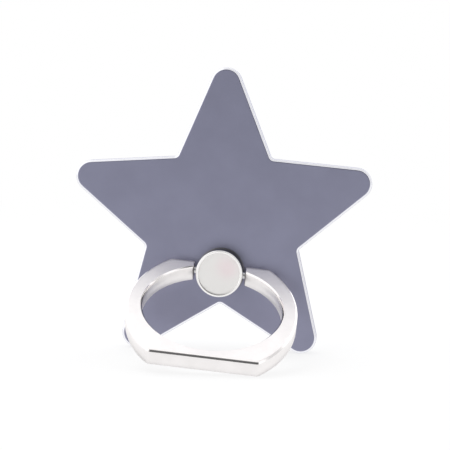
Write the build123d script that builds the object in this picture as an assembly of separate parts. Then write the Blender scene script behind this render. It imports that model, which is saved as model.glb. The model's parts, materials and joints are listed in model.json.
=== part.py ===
"""Phone ring holder: a star-shaped metal plate with a swivelling hub and a hinged finger ring.

Lengths are millimetres, with +Z up and the front towards -Y. The holder stands on its two lower points and
on the foot of its ring. Each piece is made in its own flat frame, with x to the right, y up the plate and z
out of its front face, and is then placed: the plate leans back, the hub is turned on the plate, and the ring
is swung out until its foot meets the ground.
"""
import os
from math import acos, atan2, cos, degrees, hypot, pi, radians, sin, sqrt

from build123d import *

# Star plate
star_points = 5
tip_radius = 27.27  # star's centre to the sharp corner of a point, before rounding
notch_radius = 12.17  # star's centre to the sharp inner corner between two points
tip_rounding = 2.38
notch_rounding = 0.6
plate_thickness = 3.0
front_bevel = 0.33
back_edge_break = 0.2

# Finger ring and hinge pin
ring_inner_radius = 10.2
ring_band = 2.23  # width of the ring's front face at its sides
oval_stretch = 2.22  # outer oval's half height over its half width, before its ends are cut flat
oval_drop = 0.69  # centre of the outer oval below that of the opening
ring_thickness = 2.6
ring_edge_break = 0.24
hinge_to_opening = 0.26  # hinge axis to the top of the opening's circle
foot_wall = 1.85  # metal between the opening and the flat of the foot
foot_corner_rounding = 0.8
knuckle_edge_break = 0.12
pin_radius = 0.5
pin_end_inset = 0.1  # pin's ends inside the ring's outer wall
plate_gap = 1.2  # between the plate and the ring when it is folded flat

# Swivel hub
hub_radius = 3.48
hub_gap = 0.36  # between the hub and each end of the ring
hub_proud = 0.6  # hub's rim above the folded ring
hub_rim_width = 0.37
hub_rim_break = 0.12
hub_face_depth = 0.15
flange_width = 0.12
flange_height = 0.3
tail_radius = 1.5
tail_head_lip = 0.6
tail_head_height = 0.45
running_clearance = 0.05

# Washers on the hub's tail, in a round recess behind the plate
washer_radius = 3.0
washer_thickness = 0.4
spring_inset = 0.3  # spring washer's rim inside the flat washer's
spring_thickness = 0.25
spring_rise = 0.22
recess_side_gap = 0.4
recess_cover_gap = 0.23  # between the peened head and the adhesive pad
notch_wall = 1.43  # metal between the recess and the notch below the hub

# Adhesive on the back
pad_inset = 1.0
pad_thickness = 0.8
film_thickness = 0.12

# How it stands
lean_angle = 2.0  # plate leans back from upright
swivel_angle = 4.75  # hub turned clockwise on the plate, seen from the front

# Sizes that follow
ring_half_width = ring_inner_radius + ring_band
oval_half_height = ring_half_width + oval_stretch
ring_centre_drop = ring_inner_radius + hinge_to_opening
oval_centre_drop = ring_centre_drop + oval_drop
foot_distance = ring_centre_drop + ring_inner_radius + foot_wall
ring_half = ring_thickness / 2
ring_end = hub_radius + hub_gap
hinge_height = plate_gap + ring_half
hub_height = hinge_height + ring_half + hub_proud
recess_radius = washer_radius + recess_side_gap
hub_drop = notch_radius - notch_wall - recess_radius

# Levels along the hub's axis, up from the plate's back to the recess's floor, with the front face at 0
tail_bottom = recess_cover_gap - plate_thickness
washer_bottom = tail_bottom + tail_head_height
washer_top = washer_bottom + washer_thickness
spring_top = washer_top + spring_thickness + spring_rise
recess_top = spring_top + running_clearance


def star_face():
    """Outline of the plate: a regular star with rounded points and small fillets in its notches."""
    step = pi / star_points
    radii = [tip_radius, notch_radius]
    corners = [
        (radii[i % 2] * sin(i * step), radii[i % 2] * cos(i * step))
        for i in range(2 * star_points)
    ]
    star = make_face(Polyline(*corners, close=True))
    outwards = star.vertices().sort_by(lambda v: hypot(v.X, v.Y))
    star = fillet(outwards[star_points:], tip_rounding)
    outwards = star.vertices().sort_by(lambda v: hypot(v.X, v.Y))
    return fillet(outwards[:star_points], notch_rounding)


def star_plate():
    """Plate with a bevelled front edge, a hole for the hub's tail and a round recess behind it."""
    plate = extrude(star_face(), -plate_thickness)
    plate = chamfer(plate.faces().sort_by(Axis.Z)[-1].edges(), front_bevel)
    plate = chamfer(plate.faces().sort_by(Axis.Z)[0].edges(), back_edge_break)
    upwards = (Align.CENTER, Align.CENTER, Align.MIN)
    back_of_hub = Pos(0, -hub_drop, -plate_thickness)
    plate -= back_of_hub * Cylinder(recess_radius, plate_thickness + recess_top, align=upwards)
    plate -= back_of_hub * Cylinder(tail_radius + running_clearance, plate_thickness, align=upwards)
    return plate


def swivel_hub():
    """Turned hub: rimmed barrel on a thin flange, tail through the plate, peened head behind the washers."""
    face_radius = hub_radius - hub_rim_width
    face_level = hub_height - hub_face_depth
    flange_radius = hub_radius + flange_width
    flange_top = running_clearance + flange_height
    head_radius = tail_radius + tail_head_lip
    outline = Polyline(
        (head_radius, washer_bottom),
        (tail_radius, washer_bottom),
        (tail_radius, running_clearance),
        (flange_radius, running_clearance),
        (flange_radius, flange_top),
        (hub_radius, flange_top),
        (hub_radius, hub_height - hub_rim_break),
        (hub_radius - hub_rim_break, hub_height),
        (face_radius, hub_height),
        (face_radius, face_level),
        (0, face_level),
        (0, tail_bottom),
    )
    head_dome = TangentArc((0, tail_bottom), (head_radius, washer_bottom), tangent=(1, 0))
    hub = revolve(Plane.XZ * make_face([outline, head_dome]), Axis.Z)
    pin_bore = Cylinder(pin_radius + running_clearance, 4 * hub_radius, rotation=(0, 90, 0))
    return hub - Pos(0, 0, hinge_height) * pin_bore


def spring_washer():
    """Conical spring washer, its rim towards the plate and its bore towards the flat washer."""
    bore = tail_radius + running_clearance
    rim = washer_radius - spring_inset
    section = Polyline(
        (bore, washer_top),
        (bore, washer_top + spring_thickness),
        (rim, spring_top),
        (rim, spring_top - spring_thickness),
        close=True,
    )
    return revolve(Plane.XZ * make_face(section), Axis.Z)


def retaining_washer():
    """Flat washer held by the peened head of the hub's tail."""
    washer = Cylinder(washer_radius, washer_thickness) - Cylinder(tail_radius, washer_thickness)
    return Pos(0, 0, washer_bottom + washer_thickness / 2) * washer


def ring_face():
    """Front view of the closed ring: an upright oval with a round opening, cut flat across its foot."""
    oval = Pos(0, -oval_centre_drop) * Ellipse(ring_half_width, oval_half_height)
    above_foot = Rectangle(
        2 * ring_half_width, 2 * oval_half_height, align=(Align.CENTER, Align.MIN)
    )
    outside = oval & Pos(0, -foot_distance) * above_foot
    outside = fillet(outside.vertices().group_by(Axis.Y)[0], foot_corner_rounding)
    return outside - Pos(0, -ring_centre_drop) * Circle(ring_inner_radius)


def finger_ring():
    """Ring with broken edges, rounded over about the hinge axis, opened for the hub and bored for the pin."""
    ring = extrude(ring_face(), ring_half, both=True)
    ring = chamfer(ring.faces().filter_by(Axis.Z).edges(), ring_edge_break)
    past_ring = 4 * ring_half_width
    knuckle = Cylinder(ring_half, past_ring, rotation=(0, 90, 0))
    below_hinge = Box(past_ring, past_ring, ring_thickness, align=(Align.CENTER, Align.MAX, Align.CENTER))
    ring &= knuckle + below_hinge
    ring -= Box(2 * ring_end, 2 * ring_centre_drop, past_ring)
    ends = ring.faces().filter_by(Axis.X).filter_by(lambda f: abs(f.center().X) < ring_end + hub_gap)
    ring = chamfer(ends.edges(), knuckle_edge_break)
    return ring - Cylinder(pin_radius, past_ring, rotation=(0, 90, 0))


def hinge_pin():
    """Straight pin pressed into both knuckles, its ends just inside the ring's outer wall."""
    share = (oval_centre_drop + pin_radius) / oval_half_height
    reach = ring_half_width * sqrt(1 - share**2) - pin_end_inset
    return Cylinder(pin_radius, 2 * reach, rotation=(0, 90, 0))


def back_layer(front_level, thickness):
    """Layer behind the plate, with the plate's outline drawn in from its edge."""
    return Pos(0, 0, front_level) * extrude(offset(star_face(), -pad_inset), -thickness)


# Standing places: the plate leans, the hub turns on it, and the ring swings about the hinge
lean = radians(lean_angle)
plate_place = Plane(origin=(0, 0, 0), x_dir=(1, 0, 0), z_dir=(0, -cos(lean), sin(lean))).location
hub_place = plate_place * Pos(0, -hub_drop, 0) * Rot(0, 0, -swivel_angle)
hinge_place = hub_place * Pos(0, 0, hinge_height)

plate = plate_place * star_plate()
ground = plate.bounding_box().min.Z


def stand_angle():
    """Angle from the plate at which the lower corner of the ring's foot rests on the ground."""
    hinge = Plane(hinge_place)
    contact_x = ring_face().edges().filter_by(Axis.X).sort_by(Axis.Y)[0].length / 2
    drop = ground - hinge.origin.Z - hinge.x_dir.Z * contact_x
    angles = []
    back_edge = (ring_edge_break - foot_distance, -ring_half)
    foot_edge = (-foot_distance, ring_edge_break - ring_half)
    for y, z in (back_edge, foot_edge):
        along = hinge.y_dir.Z * y + hinge.z_dir.Z * z
        across = hinge.y_dir.Z * z - hinge.z_dir.Z * y
        angles.append(atan2(across, along) % (2 * pi) - acos(drop / hypot(along, across)))
    return degrees(max(angles))


ring_place = hinge_place * Rot(-stand_angle(), 0, 0)

pieces = {
    "star_plate": plate,
    "swivel_hub": hub_place * swivel_hub(),
    "spring_washer": hub_place * spring_washer(),
    "retaining_washer": hub_place * retaining_washer(),
    "finger_ring": ring_place * finger_ring(),
    "hinge_pin": ring_place * hinge_pin(),
    "adhesive_pad": plate_place * back_layer(-plate_thickness, pad_thickness),
    "release_film": plate_place * back_layer(-plate_thickness - pad_thickness, film_thickness),
}

# Origin on the ground, at the middle of the holder's box
box = Compound(list(pieces.values())).bounding_box()
to_origin = Pos(-box.center().X, -box.center().Y, -box.min.Z)

os.makedirs("parts", exist_ok=True)
for node, piece in pieces.items():
    export_step(to_origin * piece, f"parts/{node}.step")
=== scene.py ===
"""Phone ring holder in a white studio: a satin star plate, a plated swivel hub and a plated finger ring."""
import json
from math import acos, asin, atan2, cos, hypot, pi, radians, sin, sqrt, tan

import bmesh
import bpy
from mathutils import Matrix, Vector


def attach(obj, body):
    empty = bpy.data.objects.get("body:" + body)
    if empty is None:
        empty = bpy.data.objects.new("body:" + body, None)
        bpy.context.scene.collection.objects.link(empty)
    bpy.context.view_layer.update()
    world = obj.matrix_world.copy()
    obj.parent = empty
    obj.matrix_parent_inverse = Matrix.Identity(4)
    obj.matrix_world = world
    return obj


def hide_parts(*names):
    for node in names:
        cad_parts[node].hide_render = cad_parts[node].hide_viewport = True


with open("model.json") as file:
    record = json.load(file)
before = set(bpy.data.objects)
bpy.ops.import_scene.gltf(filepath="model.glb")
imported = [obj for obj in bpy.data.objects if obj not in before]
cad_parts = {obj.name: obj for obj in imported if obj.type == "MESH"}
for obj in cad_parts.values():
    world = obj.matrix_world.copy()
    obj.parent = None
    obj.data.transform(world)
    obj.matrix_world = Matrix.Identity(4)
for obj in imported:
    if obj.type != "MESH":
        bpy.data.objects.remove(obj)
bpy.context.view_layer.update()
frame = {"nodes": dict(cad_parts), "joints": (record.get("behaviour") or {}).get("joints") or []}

# Star plate
# A star cut from sheet aluminium, satin blasted and anodised blue-grey, with a bevel that was cut bright
# afterwards. Behind the hub it has a stepped hole for the hub's tail and its washers.
mm = 0.001
star_points = 5
tip_radius = 27.27 * mm
notch_radius = 12.17 * mm
tip_rounding = 2.38 * mm
notch_rounding = 0.6 * mm
rounding_steps = 16
plate_thickness = 3.0 * mm
front_bevel = 0.33 * mm
back_edge_break = 0.2 * mm
edge_softness = 0.2 * mm
flat_land = 0.15 * mm  # strip beside a softened edge, which keeps the shading of the face beyond it flat
hub_drop = 7.34 * mm
tail_hole_radius = 1.55 * mm
recess_radius = 3.4 * mm
recess_depth = 1.6 * mm
past_face = 1 * mm  # how far a cutter stands out of the plate
weld_distance = 0.001 * mm
bevel_facing = (sqrt(0.5), 0.2)  # how squarely the bevel faces the front, and how far that may vary
plate_colour = (0.297, 0.301, 0.407, 1)
plate_shades = (0.95, 1.05)
plate_roughness = (0.31, 0.37)
pit_size = 0.09 * mm
pit_relief = 0.004 * mm
dye_cloud = 6 * mm
dye_share = 0.75  # of the clouds in the unevenness of the colour, with the pits making the rest
dye_range = (0.3, 0.7)
bevel_colour = (0.94, 0.94, 0.985, 1)
bevel_worn = 0.95  # colour where it is worn, as a share
bevel_roughness = (0.16, 0.26)
tool_line = 0.05 * mm
tool_relief = 0.002 * mm
bevel_wear = 3 * mm

joints = {joint["name"]: joint for joint in frame["joints"]}
hub_axis = Vector(joints["swivel"]["axis"]).normalized()
hub_point = Vector(joints["swivel"]["pos_m"])


def placed(right, out, origin):
    """Matrix that puts a piece made flat, x right, y up and z out of its front, in its standing place."""
    turn = Matrix((right, out.cross(right), out)).transposed()
    return Matrix.Translation(origin) @ turn.to_4x4()


plate_right = Vector((1, 0, 0))
plate_up = hub_axis.cross(plate_right)
plate_place = placed(plate_right, hub_axis, hub_point + hub_drop * plate_up)


class Wire:
    """An output of a node tree. Arithmetic on it adds Math nodes, and node() adds any other node."""

    def __init__(self, tree, socket=None):
        self.tree = tree
        self.socket = socket

    def node(self, kind, settings=None, inputs=None, output=0):
        made = self.tree.nodes.new(kind)
        for name, value in (settings or {}).items():
            setattr(made, name, value)
        for name, value in (inputs or {}).items():
            for one in value if isinstance(value, list) else [value]:
                if isinstance(one, Wire):
                    self.tree.links.new(one.socket, made.inputs[name])
                else:
                    made.inputs[name].default_value = one
        return Wire(self.tree, made.outputs[output] if made.outputs else None)

    def beside(self, output):
        """Another output of the same node."""
        return Wire(self.tree, self.socket.node.outputs[output])

    def math(self, operation, *others):
        values = dict(enumerate((self, *others)))
        return self.node("ShaderNodeMath", {"operation": operation}, values)

    def __add__(self, other):
        return self.math("ADD", other)

    def __sub__(self, other):
        return self.math("SUBTRACT", other)

    def __rsub__(self, other):
        return self.node("ShaderNodeMath", {"operation": "SUBTRACT"}, {0: other, 1: self})

    def __mul__(self, other):
        return self.math("MULTIPLY", other)

    __radd__ = __add__
    __rmul__ = __mul__

    def span(self, low, high):
        """A value from low, where this is 0, to high, where it is 1."""
        return low + (high - low) * self

    def between(self, low, high):
        """0 below low, 1 above high, and a smooth step from one to the other."""
        return self.node(
            "ShaderNodeMapRange", {"interpolation_type": "SMOOTHSTEP"}, {0: self, 1: low, 2: high}
        )

    def blend(self, first, second):
        """A colour from first, where this is 0, to second, where it is 1."""
        mixed = {"Factor": self, 6: first, 7: second}
        return self.node("ShaderNodeMix", {"data_type": "RGBA"}, mixed, output=2)


def start_material(name):
    """A new material and the wire that adds nodes to its empty tree."""
    material = bpy.data.materials.new(name)
    material.use_nodes = True
    material.node_tree.nodes.clear()
    return material, Wire(material.node_tree)


def start_finish(name, place):
    """A new material, its wire, and Object coordinates turned into the flat frame of a piece at place."""
    material, wire = start_material(name)
    coordinates = wire.node("ShaderNodeTexCoord", output="Object")
    point = wire.node(
        "ShaderNodeMapping",
        {"vector_type": "TEXTURE"},
        {"Vector": coordinates, "Location": place.translation, "Rotation": place.to_euler()},
    )
    return material, wire, point


def noise(wire, point, feature, detail=2.0, roughness=0.5):
    """Noise whose patches are about one feature wide."""
    values = {"Vector": point, "Scale": 1 / feature, "Detail": detail, "Roughness": roughness}
    return wire.node("ShaderNodeTexNoise", None, values)


def scaled(colour, share):
    """A colour made darker or lighter."""
    return tuple(share * value for value in colour[:3]) + (1,)


def finish_surface(wire, colour, roughness, height, relief, metallic=1.0):
    """Shader with a colour, a roughness and a height field as fine relief, and the end of the material."""
    values = {
        "Base Color": colour,
        "Roughness": roughness,
        "Metallic": metallic,
        "Normal": wire.node("ShaderNodeBump", None, {"Height": height, "Distance": relief}),
    }
    shader = wire.node("ShaderNodeBsdfPrincipled", None, values)
    wire.node("ShaderNodeOutputMaterial", None, {"Surface": shader})


def anodised_finish():
    """Satin blasted and anodised aluminium: fine pits, faint clouds in the dye and in the gloss."""
    material, wire, point = start_finish("anodised_plate", plate_place)
    pits = noise(wire, point, pit_size, detail=3.0, roughness=0.6)
    clouds = noise(wire, point, dye_cloud, detail=3.0)
    uneven = (dye_share * clouds + (1 - dye_share) * pits).between(*dye_range)
    colour = uneven.blend(*(scaled(plate_colour, shade) for shade in plate_shades))
    finish_surface(wire, colour, clouds.span(*plate_roughness), pits, pit_relief)
    return material


def bright_cut_finish():
    """Bare aluminium where the bevel was cut: bright, with fine tool lines."""
    material, wire, point = start_finish("bright_bevel", plate_place)
    lines = noise(wire, point, tool_line)
    worn = noise(wire, point, bevel_wear)
    colour = worn.blend(scaled(bevel_colour, bevel_worn), bevel_colour)
    finish_surface(wire, colour, lines.span(*bevel_roughness), lines, tool_relief)
    return material


def star_layer_tree():
    """Geometry nodes for a layer of the star: its outline swept by a section, and both faces filled."""
    tree = bpy.data.node_groups.new("star_layer", "GeometryNodeTree")
    sizes = (
        "Tip Radius", "Notch Radius", "Tip Rounding", "Notch Rounding",
        "Inset", "Front Inset", "Back Inset",
    )
    kinds = {"Points": "Int", "Rounding Steps": "Int", "Edge Section": "Object", "Thickness": "Float"}
    kinds.update({size: "Float" for size in sizes})
    kinds.update({"Face Finish": "Material", "Bevel Finish": "Material"})
    for name, kind in kinds.items():
        tree.interface.new_socket(name, in_out="INPUT", socket_type="NodeSocket" + kind)
    tree.interface.new_socket("Layer", in_out="OUTPUT", socket_type="NodeSocketGeometry")
    wire = Wire(tree)
    entry = wire.node("NodeGroupInput")
    given = {name: entry.beside(name) for name in kinds}

    radii = {"Inner Radius": given["Notch Radius"], "Outer Radius": given["Tip Radius"]}
    star = wire.node("GeometryNodeCurveStar", None, {"Points": given["Points"], **radii})
    roundings = {"False": given["Notch Rounding"], "True": given["Tip Rounding"]}
    rounding = wire.node(
        "GeometryNodeSwitch", {"input_type": "FLOAT"}, {"Switch": star.beside("Outer Points"), **roundings}
    )
    outline = wire.node(
        "GeometryNodeFilletCurve",
        {"mode": "POLY"},
        {"Curve": star, "Radius": rounding, "Count": given["Rounding Steps"]},
    )
    tip_up = {"Geometry": outline, "Rotation": (0, 0, pi / 2)}
    outline = wire.node("GeometryNodeTransform", None, tip_up)

    def drawn_in(distance):
        """The outline moved in from its edge."""
        sideways = wire.node("GeometryNodeInputNormal")
        inwards = wire.node(
            "ShaderNodeVectorMath", {"operation": "SCALE"}, {0: sideways, "Scale": 0.0 - distance}
        )
        return wire.node("GeometryNodeSetPosition", None, {"Geometry": outline, "Offset": inwards})

    def filled(inset):
        """Flat face within the outline, up to where the edge section starts or ends."""
        edge = drawn_in(given["Inset"] + given[inset])
        return wire.node("GeometryNodeFillCurve", None, {"Curve": edge})

    section = wire.node("GeometryNodeObjectInfo", None, {"Object": given["Edge Section"]}, "Geometry")
    sweep = {"Curve": drawn_in(given["Inset"]), "Profile Curve": section}
    rim = wire.node("GeometryNodeCurveToMesh", None, sweep)
    front = filled("Front Inset")
    level = wire.node("ShaderNodeCombineXYZ", None, {"Z": 0.0 - given["Thickness"]})
    lowered = {"Geometry": filled("Back Inset"), "Translation": level}
    back = wire.node("GeometryNodeTransform", None, lowered)
    back = wire.node("GeometryNodeFlipFaces", None, {"Mesh": back})
    whole = wire.node("GeometryNodeJoinGeometry", None, {"Geometry": [rim, front, back]})
    welded = {"Geometry": whole, "Distance": weld_distance}
    whole = wire.node("GeometryNodeMergeByDistance", None, welded)
    whole = wire.node("GeometryNodeRealizeInstances", None, {"Geometry": whole})
    facing = wire.node("GeometryNodeInputNormal")
    facing = wire.node("ShaderNodeSeparateXYZ", None, {0: facing}, output="Z")
    on_bevel = facing.math("COMPARE", *bevel_facing)
    for chosen, finish in (({}, "Face Finish"), ({"Selection": on_bevel}, "Bevel Finish")):
        finished = {"Geometry": whole, "Material": given[finish], **chosen}
        whole = wire.node("GeometryNodeSetMaterial", None, finished)
    wire.node("NodeGroupOutput", None, {"Layer": whole})
    return tree


def softened(corners, radius, steps=3):
    """An open run of straight lines with each inner corner rounded."""
    points = [Vector(corners[0])]
    nearly_straight = radians(89)
    for before, corner, after in zip(corners, corners[1:], corners[2:]):
        corner = Vector(corner)
        back = (Vector(before) - corner).normalized()
        ahead = (Vector(after) - corner).normalized()
        half_turn = back.angle(ahead) / 2
        if half_turn > nearly_straight:
            points.append(corner)
            continue
        centre = corner + (back + ahead).normalized() * radius / sin(half_turn)
        start = corner + back * radius / tan(half_turn) - centre
        end = corner + ahead * radius / tan(half_turn) - centre
        sweep = start.angle(end)
        for step in range(steps + 1):
            share = step / steps
            weight = (sin((1 - share) * sweep), sin(share * sweep))
            points.append(centre + (weight[0] * start + weight[1] * end) / sin(sweep))
    return points + [Vector(corners[-1])]


def section_curve(points):
    """A flat open curve through the points, upside down, as the sweep along an outline turns it over."""
    curve = bpy.data.curves.new("section", "CURVE")
    curve.dimensions = "3D"
    spline = curve.splines.new("POLY")
    spline.points.add(len(points) - 1)
    for target, point in zip(spline.points, points):
        target.co = (point[0], -point[1], 0, 1)
    return bpy.data.objects.new("section", curve)


def show(mesh, name, crease=30):
    """An object at the origin for a finished mesh, smooth apart from its creases."""
    mesh.name = name
    mesh.shade_smooth()
    mesh.set_sharp_from_angle(angle=radians(crease))
    piece = bpy.data.objects.new(name, mesh)
    bpy.context.scene.collection.objects.link(piece)
    return piece


def solid_mesh(piece):
    """Plain mesh of an object with its modifiers, which are taken off with the object itself."""
    bpy.context.view_layer.update()
    evaluated = piece.evaluated_get(bpy.context.evaluated_depsgraph_get())
    mesh = bpy.data.meshes.new_from_object(evaluated)
    bpy.data.objects.remove(piece)
    return mesh


star_tree = star_layer_tree()


def star_layer(edge, inset, thickness, finishes):
    """Mesh of a star layer with its front face at level 0; edge lists its section from front to back."""
    section = section_curve(edge)
    bpy.context.scene.collection.objects.link(section)
    carrier = bpy.data.objects.new("layer", bpy.data.meshes.new("layer"))
    bpy.context.scene.collection.objects.link(carrier)
    modifier = carrier.modifiers.new("star", "NODES")
    modifier.node_group = star_tree
    values = {
        "Points": star_points,
        "Rounding Steps": rounding_steps,
        "Tip Radius": tip_radius,
        "Notch Radius": notch_radius,
        "Tip Rounding": tip_rounding,
        "Notch Rounding": notch_rounding,
        "Inset": inset,
        "Front Inset": -edge[0][0],
        "Back Inset": -edge[-1][0],
        "Thickness": thickness,
        "Edge Section": section,
        "Face Finish": finishes[0],
        "Bevel Finish": finishes[-1],
    }
    for item in star_tree.interface.items_tree:
        if item.in_out == "INPUT":
            modifier[item.identifier] = values[item.name]
    mesh = solid_mesh(carrier)
    bpy.data.objects.remove(section)
    return mesh


def turned(section, steps=96):
    """Closed mesh of a section, listed as radius and level, turned about the z axis."""
    shape = bmesh.new()
    rings = []
    for radius, level in section:
        count = steps if radius > 0 else 1
        angles = [2 * pi * step / steps for step in range(count)]
        rings.append([shape.verts.new((radius * cos(a), radius * sin(a), level)) for a in angles])
    for ring, following in zip(rings, rings[1:]):
        for step in range(steps):
            corners = [side[i % len(side)] for side, i in (
                (ring, step), (ring, step + 1), (following, step + 1), (following, step))]
            shape.faces.new(list(dict.fromkeys(corners)))
    bmesh.ops.recalc_face_normals(shape, faces=shape.faces)
    mesh = bpy.data.meshes.new("turned")
    shape.to_mesh(mesh)
    shape.free()
    return mesh


def cut(mesh, cutter):
    """The mesh with a closed cutter mesh taken out of it."""
    body, tool = (bpy.data.objects.new("cutting", data) for data in (mesh, cutter))
    for piece in (body, tool):
        bpy.context.scene.collection.objects.link(piece)
    modifier = body.modifiers.new("cut", "BOOLEAN")
    modifier.operation = "DIFFERENCE"
    modifier.solver = "EXACT"
    modifier.object = tool
    result = solid_mesh(body)
    bpy.data.objects.remove(tool)
    return result


plate_edge = softened(
    [
        (-front_bevel - flat_land, 0),
        (-front_bevel, 0),
        (0, -front_bevel),
        (0, back_edge_break - plate_thickness),
        (-back_edge_break, -plate_thickness),
        (-back_edge_break - flat_land, -plate_thickness),
    ],
    edge_softness,
)
plate_finishes = (anodised_finish(), bright_cut_finish())
plate_mesh = star_layer(plate_edge, 0.0, plate_thickness, plate_finishes)
hole_plug = turned([
    (0, past_face),
    (tail_hole_radius, past_face),
    (tail_hole_radius, recess_depth - plate_thickness),
    (recess_radius, recess_depth - plate_thickness),
    (recess_radius, -plate_thickness - past_face),
    (0, -plate_thickness - past_face),
])
hole_plug.transform(Matrix.Translation((0, -hub_drop, 0)))
plate_mesh = cut(plate_mesh, hole_plug)
plate_mesh.transform(plate_place)
star_plate = show(plate_mesh, "satin_star_plate")
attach(star_plate, "plate")
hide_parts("star_plate")

# Swivel hub
# A hub turned from brass: a dull barrel on a thin flange, both coloured dark as painted shade of the
# crevice against the plate, and a bright plated rim round an end face that is sunk a little and left satin,
# with a painted pink sheen at its upper right. Its tail runs through the plate and is peened over the
# washers behind.
hub_radius = 3.48 * mm
hub_height = 4.4 * mm
hub_rim_width = 0.37 * mm
hub_rim_break = 0.12 * mm
hub_face_depth = 0.15 * mm
hub_edge_softness = 0.04 * mm
bright_rim = 2 * hub_rim_break  # height of the bright band at the top of the barrel
flange_radius = 3.6 * mm
flange_bottom = 0.05 * mm
flange_top = 0.35 * mm
tail_radius = 1.5 * mm
tail_head_radius = 2.1 * mm
tail_head_top = -2.32 * mm
tail_bottom = -2.77 * mm
dome_share = 0.7  # of the peened head's radius and height, where its dome turns steep
hinge_height = 2.5 * mm
pin_bore_radius = 0.55 * mm
hub_steps = 160
rod_steps = 48
near = 0.01 * mm  # slack in telling which surface a face or an edge belongs to
plating_colour = (0.95, 0.94, 0.93, 1)
plating_roughness = 0.12
plating_wave = 2.5 * mm
plating_speck = 0.12 * mm
plating_relief = 0.01 * mm
plating_thin = 0.96  # colour where the plating is thin, as a share
wave_range = (0.35, 0.65)
wave_gloss = 0.04
speck_gloss = 0.06
speck_height = 0.02
noise_middle = 0.5
# Painted shade: the barrel, its flange and the tail are coloured dark for the shade in the crevice against
# the plate.
barrel_painted_shade_colour = (0.25, 0.245, 0.25, 1)
barrel_roughness = 0.3
face_grey = (0.86, 0.845, 0.83, 1)
painted_sheen_colour = (0.865, 0.775, 0.785, 1)
face_roughness = (0.18, 0.26)
face_metallic = 0.6
sheen_centre = (1.1 * mm, 1.1 * mm)
sheen_radius = 2.6 * mm
sheen_patch = 1.6 * mm
sheen_least = 0.7  # strength of the painted sheen between its patches
turning_pitch = 0.11 * mm
turning_mark = 0.05 * mm
turning_height = 0.3
turning_relief = 0.0008 * mm

hinge_axis = -Vector(joints["ring_hinge"]["axis"]).normalized()
hinge_point = Vector(joints["ring_hinge"]["pos_m"])
hub_place = placed(hinge_axis, hub_axis, hub_point)


def plated_finish(name, place, colour, roughness):
    """Plating over polished metal: faint waves and a little uneven gloss."""
    material, wire, point = start_finish(name, place)
    waves = noise(wire, point, plating_wave)
    specks = noise(wire, point, plating_speck, detail=3.0, roughness=0.6)
    tint = waves.between(*wave_range).blend(scaled(colour, plating_thin), colour)
    gloss = roughness + speck_gloss * (specks - noise_middle) + wave_gloss * (waves - noise_middle)
    finish_surface(wire, tint, gloss, waves + speck_height * specks, plating_relief)
    return material


def turned_face_finish():
    """Satin face of the hub: fine rings from the turning tool and a painted pink sheen at its upper right.
    """
    material, wire, point = start_finish("turned_face", hub_place)
    across = wire.node("ShaderNodeSeparateXYZ", None, {0: point})
    upward = across.beside("Y")
    radius = (across * across + upward * upward).math("SQRT")
    rings = (radius * (2 * pi / turning_pitch)).math("SINE")
    along_radius = wire.node("ShaderNodeCombineXYZ", None, {"X": radius})
    uneven = noise(wire, along_radius, turning_mark, detail=3.0)
    # Painted sheen: a pink tint towards the upper right of the face, in place of the light on the turned
    # face.
    sideways = across - sheen_centre[0]
    above = upward - sheen_centre[1]
    from_sheen = (sideways * sideways + above * above).math("SQRT")
    rose = 1.0 - from_sheen.between(0.0, sheen_radius)
    patches = noise(wire, point, sheen_patch)
    colour = (rose * (sheen_least + patches)).blend(face_grey, painted_sheen_colour)
    gloss = uneven.span(*face_roughness)
    finish_surface(wire, colour, gloss, turning_height * rings + uneven, turning_relief, face_metallic)
    return material


def cross_rod(radius, reach):
    """Closed rod along x, to bore a hole with."""
    rod = turned([(0, -reach), (radius, -reach), (radius, reach), (0, reach)], rod_steps)
    rod.transform(along_x)
    return rod


face_radius = hub_radius - hub_rim_width
face_level = hub_height - hub_face_depth
hub_section = softened(
    [
        (0, face_level),
        (face_radius - flat_land, face_level),
        (face_radius, face_level),
        (face_radius, hub_height),
        (hub_radius - hub_rim_break, hub_height),
        (hub_radius, hub_height - hub_rim_break),
        (hub_radius, flange_top),
        (flange_radius, flange_top),
        (flange_radius, flange_bottom),
        (tail_radius, flange_bottom),
        (tail_radius, tail_head_top),
        (tail_head_radius, tail_head_top),
        (dome_share * tail_head_radius, dome_share * tail_bottom + (1 - dome_share) * tail_head_top),
        (0, tail_bottom),
    ],
    hub_edge_softness,
    steps=2,
)
along_x = Matrix.Rotation(pi / 2, 4, "Y")
bore = cross_rod(pin_bore_radius, 2 * hub_radius)
bore.transform(Matrix.Translation((0, 0, hinge_height)))
hub_mesh = cut(turned(hub_section, hub_steps), bore)
hub_mesh.materials.clear()
hub_mesh.materials.append(plated_finish("plated_hub", hub_place, plating_colour, plating_roughness))
hub_mesh.materials.append(turned_face_finish())
# The dark barrel colour is painted shade. It also darkens the plate's reflection of the barrel above the
# hub.
hub_mesh.materials.append(plated_finish("hub_painted_shade", hub_place, barrel_painted_shade_colour, barrel_roughness))
for face in hub_mesh.polygons:
    middle = face.center
    sunk = face_level - near < middle.z < hub_height - hub_edge_softness
    on_face = sunk and hypot(middle.x, middle.y) < face_radius + near
    in_painted_shade = middle.z < hub_height - bright_rim
    face.material_index = 1 if on_face else 2 if in_painted_shade else 0
hub_mesh.transform(hub_place)
swivel_hub = show(hub_mesh, "plated_hub")
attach(swivel_hub, "hub")
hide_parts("swivel_hub")

# Washers
# A conical spring washer and a flat washer of plain steel, in the recess behind the plate. They press the
# hub's flange against the plate, so that the swivel stays where it is turned.
steel_colour = (0.45, 0.45, 0.46, 1)
steel_roughness = (0.26, 0.40)
steel_dark = 0.85  # colour in its darker clouds, as a share
steel_scratch = 0.06 * mm
steel_relief = 0.002 * mm
steel_cloud = 1.2 * mm


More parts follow.
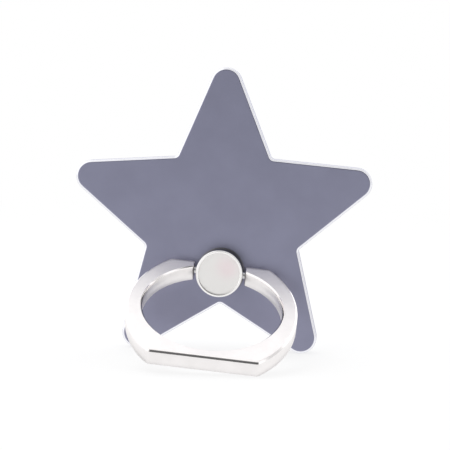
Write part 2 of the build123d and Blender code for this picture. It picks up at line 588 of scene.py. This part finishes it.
def plain_steel_finish(name, colour):
    """Rolled or ground steel: fine short scratches and a dull gloss."""
    material, wire, point = start_finish(name, hub_place)
    scratches = noise(wire, point, steel_scratch, detail=3.0, roughness=0.65)
    tint = noise(wire, point, steel_cloud).blend(scaled(colour, steel_dark), colour)
    finish_surface(wire, tint, scratches.span(*steel_roughness), scratches, steel_relief)
    return material


washer_steel = plain_steel_finish("washer_steel", steel_colour)
for name in ("spring_washer", "retaining_washer"):
    washer = frame["nodes"][name].data
    washer.materials.clear()
    washer.materials.append(washer_steel)

# Finger ring
# A die-cast ring, polished and plated. Its outside is an upright oval cut flat across the foot, its opening
# is round, and its two ends stand beside the hub, rounded over about the hinge pin pressed through them.
ring_inner_radius = 10.2 * mm
ring_centre = Vector((0, -10.46 * mm))
oval_half_width = 12.43 * mm
oval_half_height = 14.65 * mm
oval_centre = Vector((0, -11.15 * mm))
ring_half = 1.3 * mm
ring_edge_break = 0.24 * mm
foot_level = -22.51 * mm
foot_corner_rounding = 0.8 * mm
ring_end = 3.84 * mm
ring_end_break = 0.12 * mm
pin_radius = 0.5 * mm
ring_weld_distance = 0.0005 * mm
ring_crease = 50
opening_border = 1.3 * ring_edge_break  # round the opening, where the edges of the flat faces stay sharp
edge_break_facing = (0.5, 0.9)  # how squarely the broken edges face the front or the back
ring_colour = (0.975, 0.947, 0.942, 1)
ring_roughness = 0.4
ring_edge_roughness = 0.14

fold_angle = -radians(joints["ring_hinge"]["range_deg"][0])
ring_place = placed(hinge_axis, hub_axis, hinge_point) @ Matrix.Rotation(-fold_angle, 4, "X")


def circle_point(angle, radius, centre=ring_centre):
    """Point on a circle in the ring's front view."""
    return centre + radius * Vector((cos(angle), sin(angle)))


def oval_place(turn):
    """Point on the ring's outer oval and the angle that its outside faces there."""
    point = oval_centre + Vector((oval_half_width * cos(turn), oval_half_height * sin(turn)))
    return point, atan2(sin(turn) / oval_half_height, cos(turn) / oval_half_width)


def rounding_place(turn):
    """Centre of a foot corner's rounding that touches the oval at this turn."""
    point, outward = oval_place(turn)
    return circle_point(outward, -foot_corner_rounding, point)


def outer_stations():
    """Places round the right half of the ring's outside, from its end to the foot.

    Each is a point and the angle that the outside faces there.
    """
    shoulder = asin((ring_half - oval_centre.y) / oval_half_height)
    end_top = Vector((ring_end + ring_end_break, ring_half))
    top_steps = 20
    for step in range(top_steps):
        yield end_top.lerp(oval_place(shoulder)[0], step / top_steps), pi / 2
    low, high = -pi / 2, 0.0
    close_enough = 1e-9
    while high - low > close_enough:
        middle = (low + high) / 2
        if rounding_place(middle).y < foot_level + foot_corner_rounding:
            low = middle
        else:
            high = middle
    oval_steps = 110
    for step in range(oval_steps):
        yield oval_place(shoulder + (high - shoulder) * step / oval_steps)
    rounding_centre = rounding_place(high)
    outward = oval_place(high)[1]
    corner_steps = 8
    for step in range(corner_steps):
        angle = outward - (outward + pi / 2) * step / corner_steps
        yield circle_point(angle, foot_corner_rounding, rounding_centre), angle
    foot_start = rounding_centre - Vector((0, foot_corner_rounding))
    foot_steps = 16
    for step in range(foot_steps + 1):
        yield foot_start.lerp(Vector((0, foot_level)), step / foot_steps), -pi / 2


def inner_angle(outside):
    """Angle round the opening across from a point on the outside, drawn to the cut at the ring's end."""
    angle = atan2(outside.y - ring_centre.y, outside.x - ring_centre.x)
    even_below = radians(40)
    if angle > even_below:
        outer_end = atan2(ring_half - ring_centre.y, ring_end + ring_end_break)
        inner_end = acos((ring_end + ring_end_break) / ring_inner_radius)
        share = (angle - even_below) / (outer_end - even_below)
        angle = even_below + share * (inner_end - even_below)
    return angle


def band_section(inner, outer, outward, inset=0.0):
    """Loop of points round the band from its inside to its outside, or drawn in from that by an inset."""
    half = ring_half - inset
    break_loss = 2 - sqrt(2)  # of a 45 degree break, for each unit that it is drawn in
    edge_break = ring_edge_break - break_loss * inset
    across = outer - inner
    start = inner + across * inset / across.length
    end = outer - across * inset / across.length
    if end.y > half:
        end = start.lerp(end, (half - start.y) / (end.y - start.y))
    span = end - start
    normal = Vector((cos(outward), sin(outward)))
    chamfer_in = edge_break / span.length
    chamfer_out = 1 - edge_break / max(span.dot(normal), edge_break)
    knuckle_from = -start.y / span.y if end.y > 0 else 1.0
    rounded_from = min(chamfer_out, knuckle_from)
    flat_parts = (0.3, 0.6, 0.9)
    shares = [0.0, chamfer_in]
    shares += [chamfer_in + (rounded_from - chamfer_in) * part for part in flat_parts]
    knuckle_steps = 14
    round_parts = [sin(pi / 2 * step / knuckle_steps) for step in range(knuckle_steps + 1)]
    shares += [rounded_from + (1 - rounded_from) * part for part in round_parts]
    loop = []
    for share in shares:
        point = start + span * share
        height = min(
            half,
            half - edge_break + share * span.length,
            half - edge_break + (1 - share) * max(span.dot(normal), 0.0),
        )
        if point.y > 0:
            height = min(height, sqrt(max(half * half - point.y * point.y, 0.0)))
        loop.append(Vector((point.x, point.y, height)))
    return loop + [Vector((p.x, p.y, -p.z)) for p in reversed(loop)]


def ring_mesh():
    """The band lofted from one end, round the foot, to the other end, with broken edges at both ends."""
    half_loops = []
    for outside, outward in outer_stations():
        inside = circle_point(inner_angle(outside), ring_inner_radius)
        if not half_loops:
            end_loop = band_section(inside, outside, outward, ring_end_break)
            half_loops.append([Vector((ring_end, p.y, p.z)) for p in end_loop])
        half_loops.append(band_section(inside, outside, outward))
    mirrored = [[Vector((-p.x, p.y, p.z)) for p in loop] for loop in reversed(half_loops[:-1])]
    shape = bmesh.new()
    loops = [[shape.verts.new(p) for p in loop] for loop in half_loops + mirrored]
    for loop, following in zip(loops, loops[1:]):
        for i in range(len(loop)):
            j = (i + 1) % len(loop)
            shape.faces.new((loop[i], loop[j], following[j], following[i]))
    shape.faces.new(loops[0])
    shape.faces.new(loops[-1])
    bmesh.ops.remove_doubles(shape, verts=shape.verts, dist=ring_weld_distance)
    bmesh.ops.dissolve_degenerate(shape, edges=shape.edges, dist=ring_weld_distance)
    bmesh.ops.recalc_face_normals(shape, faces=shape.faces)
    mesh = bpy.data.meshes.new("ring")
    shape.to_mesh(mesh)
    shape.free()
    return mesh


finger_ring_mesh = cut(ring_mesh(), cross_rod(pin_radius, 2 * oval_half_width))
finger_ring_mesh.materials.clear()
for name, roughness in (("plated_ring", ring_roughness), ("bright_ring_edges", ring_edge_roughness)):
    finger_ring_mesh.materials.append(plated_finish(name, ring_place, ring_colour, roughness))
for face in finger_ring_mesh.polygons:
    on_edge_break = edge_break_facing[0] < abs(face.normal.z) < edge_break_facing[1] and face.center.y < 0
    face.material_index = 1 if on_edge_break else 0
finger_ring_mesh.transform(ring_place)
finger_ring = show(finger_ring_mesh, "plated_finger_ring", ring_crease)
to_ring = ring_place.inverted()
ring_shape = bmesh.new()
ring_shape.from_mesh(finger_ring_mesh)
for edge in ring_shape.edges:
    middle = to_ring @ ((edge.verts[0].co + edge.verts[1].co) / 2)
    from_opening = (middle.xy - ring_centre).length - ring_inner_radius
    if abs(middle.z) > ring_half - near and from_opening < opening_border:
        edge.smooth = False
ring_shape.to_mesh(finger_ring_mesh)
ring_shape.free()
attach(finger_ring, "ring")
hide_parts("finger_ring")

# Hinge pin
# A ground steel pin, pressed through both ends of the ring and running in the hub's cross bore. Its ends
# are broken and stand just inside the ring's outer wall.
pin_end_inset = 0.1 * mm
pin_end_break = 0.08 * mm
pin_colour = (0.72, 0.72, 0.73, 1)

pin_reach = oval_place(asin((pin_radius - oval_centre.y) / oval_half_height))[0].x - pin_end_inset
pin_section = [
    (0, pin_reach),
    (pin_radius - pin_end_break, pin_reach),
    (pin_radius, pin_reach - pin_end_break),
    (pin_radius, pin_end_break - pin_reach),
    (pin_radius - pin_end_break, -pin_reach),
    (0, -pin_reach),
]
pin_mesh = turned(pin_section, rod_steps)
pin_mesh.materials.append(plain_steel_finish("pin_steel", pin_colour))
pin_mesh.transform(ring_place @ along_x)
hinge_pin = show(pin_mesh, "steel_hinge_pin")
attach(hinge_pin, "ring")
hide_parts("hinge_pin")

# Adhesive pad
# A star of white acrylic foam with tacky faces, die-cut a little smaller than the plate and stuck to its
# back. Its cut edge shows the foam's cells.
pad_inset = 1.0 * mm
pad_thickness = 0.8 * mm
pad_edge_break = 0.06 * mm
pad_edge_softness = 0.03 * mm
foam_colour = (0.80, 0.80, 0.78, 1)
foam_roughness = (0.65, 0.90)
cell_colour = (0.62, 0.62, 0.60, 1)
cell_size = 0.22 * mm
cell_relief = 0.03 * mm
cell_wall = (0.1, 0.5)
cell_share = 0.7  # of the cells in the foam's colour, with its clouds making the rest
foam_cloud = 2 * mm


def foam_finish():
    """Closed-cell foam: round cells of mixed size, matt between them."""
    material, wire, point = start_finish("acrylic_foam", plate_place)
    cells = wire.node("ShaderNodeTexVoronoi", None, {"Vector": point, "Scale": 1 / cell_size})
    clouds = noise(wire, point, foam_cloud)
    walls = cells.between(*cell_wall)
    colour = (cell_share * walls + (1 - cell_share) * clouds).blend(cell_colour, foam_colour)
    finish_surface(wire, colour, clouds.span(*foam_roughness), walls, cell_relief, metallic=0.0)
    return material


def layer_edge(edge_break, thickness):
    """Section of a thin layer's edge, with its two corners broken, from front to back."""
    return [(-edge_break, 0), (0, -edge_break), (0, edge_break - thickness), (-edge_break, -thickness)]


pad_edge = softened(layer_edge(pad_edge_break, pad_thickness), pad_edge_softness)
pad_mesh = star_layer(pad_edge, pad_inset, pad_thickness, (foam_finish(),))
pad_mesh.transform(plate_place @ Matrix.Translation((0, 0, -plate_thickness)))
adhesive_pad = show(pad_mesh, "foam_adhesive_pad")
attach(adhesive_pad, "plate")
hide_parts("adhesive_pad")

# Release film
# A thin milky film over the pad's back, peeled off before the holder is stuck to a phone. It lies a little
# wavy on the tacky foam and shines.
film_thickness = 0.12 * mm
film_edge_break = 0.01 * mm
film_colour = (0.60, 0.70, 0.80, 1)
film_pale = (0.74, 0.80, 0.86, 1)
film_roughness = (0.12, 0.24)
film_wave = 7 * mm
film_relief = 0.08 * mm
wave_paleness = 0.7
bubble_paleness = 0.5
bubble_height = 0.05
bubble_spacing = 2.4 * mm
bubble_edge = (0.06, 0.16)


def film_finish():
    """Milky plastic film: glossy, with soft waves and small bubbles under it."""
    material, wire, point = start_finish("release_film", plate_place)
    waves = noise(wire, point, film_wave)
    spots = wire.node("ShaderNodeTexVoronoi", None, {"Vector": point, "Scale": 1 / bubble_spacing})
    bubbles = 1.0 - spots.between(*bubble_edge)
    pale = wave_paleness * waves + bubble_paleness * bubbles
    colour = pale.blend(film_colour, film_pale)
    gloss = waves.span(*film_roughness)
    finish_surface(wire, colour, gloss, waves + bubble_height * bubbles, film_relief, metallic=0.0)
    return material


film_edge = layer_edge(film_edge_break, film_thickness)
film_mesh = star_layer(film_edge, pad_inset, film_thickness, (film_finish(),))
film_mesh.transform(plate_place @ Matrix.Translation((0, 0, -plate_thickness - pad_thickness)))
release_film = show(film_mesh, "milky_release_film")
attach(release_film, "plate")
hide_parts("release_film")

# Studio
# A white floor that runs out of sight and a white surround that is brighter at the back, with a pale grey
# strip overhead and to the right, and a dark zone behind the camera that sets off the foot's edge. A broad
# soft lamp high at the left casts the shadow, and is kept out of the metals' reflections.
floor_half = 3.0
floor_colour = (0.92, 0.92, 0.93, 1)
floor_glow = 0.8
floor_fade = (0.06, 0.25)
white = (1, 1, 1, 1)
surround_level = 1.14
surround_back = 1.38
back_from = (0.1, 0.4)
surround_strip = 0.76
strip_from = (-0.35, -0.1)
strip_sides = (0.12, 0.24)
surround_dark = 0.12
dark_from = (0.45, 0.75)
dark_left = (-0.45, -0.05)
dark_bottom = (0.0, 0.15)
dark_top = (0.7, 0.9)
lamp_strength = 0.5
lamp_angle = radians(40)
lamp_from = Vector((-0.45, -0.1, 0.9))

floor_mesh = bpy.data.meshes.new("floor")
floor_shape = bmesh.new()
bmesh.ops.create_grid(floor_shape, x_segments=1, y_segments=1, size=floor_half)
floor_shape.to_mesh(floor_mesh)
floor_shape.free()
floor = bpy.data.objects.new("floor", floor_mesh)
bpy.context.scene.collection.objects.link(floor)


def seen_directly(wire, camera_share):
    """The share for rays from the camera, 1 for those from a mirror or clear matter, and 0 for the rest."""
    path = wire.node("ShaderNodeLightPath", output="Is Camera Ray")
    seen = path * camera_share
    for other in ("Is Glossy Ray", "Is Transmission Ray"):
        seen = seen.math("MAXIMUM", path.beside(other))
    return seen


floor_material, wire = start_material("white_floor")
coordinates = wire.node("ShaderNodeTexCoord", output="Object")
distance = wire.node("ShaderNodeVectorMath", {"operation": "LENGTH"}, {0: coordinates}, output="Value")
glow_share = distance.between(*floor_fade).span(floor_glow, 1.0)
matt = wire.node("ShaderNodeBsdfDiffuse", None, {"Color": floor_colour})
glow = wire.node("ShaderNodeEmission", None, {"Color": white, "Strength": 1.0})
surface = wire.node("ShaderNodeMixShader", None, {0: seen_directly(wire, glow_share), 1: matt, 2: glow})
wire.node("ShaderNodeOutputMaterial", None, {"Surface": surface})
floor_mesh.materials.append(floor_material)

world = bpy.data.worlds.new("studio")
bpy.context.scene.world = world
world.use_nodes = True
world.node_tree.nodes.clear()
wire = Wire(world.node_tree)
direction = wire.node("ShaderNodeTexCoord", output="Generated")
ahead = wire.node("ShaderNodeSeparateXYZ", None, {0: direction}, output="Y")
right = ahead.beside("X")
height = ahead.beside("Z")
behind_camera = (0.0 - ahead).between(*dark_from) * right.between(*dark_left)
darkness = behind_camera * height.between(*dark_bottom) * (1.0 - height.between(*dark_top))
strip = right.between(*strip_from) * (1.0 - ahead.math("ABSOLUTE").between(*strip_sides))
painted = ahead.between(*back_from).span(surround_level, surround_back)
painted = strip.span(painted, surround_strip)
painted = darkness.span(painted, surround_dark)
camera_ray = wire.node("ShaderNodeLightPath", output="Is Camera Ray")
brightness = camera_ray.span(painted, 1.0)
sky = wire.node("ShaderNodeBackground", None, {"Color": white, "Strength": brightness})
wire.node("ShaderNodeOutputWorld", None, {"Surface": sky})

lamp_data = bpy.data.lights.new("soft_lamp", "SUN")
lamp_data.energy = lamp_strength
lamp_data.angle = lamp_angle
lamp = bpy.data.objects.new("soft_lamp", lamp_data)
lamp.visible_glossy = False
lamp.rotation_euler = lamp_from.to_track_quat("Z", "Y").to_euler()
bpy.context.scene.collection.objects.link(lamp)

# Camera
# A long lens in front of the holder, a little to its right and above it, turned slightly in the hand.
camera_azimuth = radians(3.31)
camera_elevation = radians(5.62)
camera_roll = radians(1.56)
camera_distance = 301.4 * mm
camera_look = plate_place.translation + Vector((0.435, 0, -0.315)) * mm
camera_lens = 160
camera_reach = (0.01, 20)

towards_camera = Vector((
    sin(camera_azimuth) * cos(camera_elevation),
    -cos(camera_azimuth) * cos(camera_elevation),
    sin(camera_elevation),
))
camera_data = bpy.data.cameras.new("camera")
camera_data.lens = camera_lens
camera_data.clip_start, camera_data.clip_end = camera_reach
camera = bpy.data.objects.new("camera", camera_data)
level_view = (-towards_camera).to_track_quat("-Z", "Y").to_matrix()
rolled_view = level_view @ Matrix.Rotation(camera_roll, 3, "Z")
camera_point = camera_look + camera_distance * towards_camera
camera.matrix_world = Matrix.Translation(camera_point) @ rolled_view.to_4x4()
bpy.context.scene.collection.objects.link(camera)
bpy.context.scene.camera = camera
bpy.context.scene.view_settings.view_transform = "Standard"
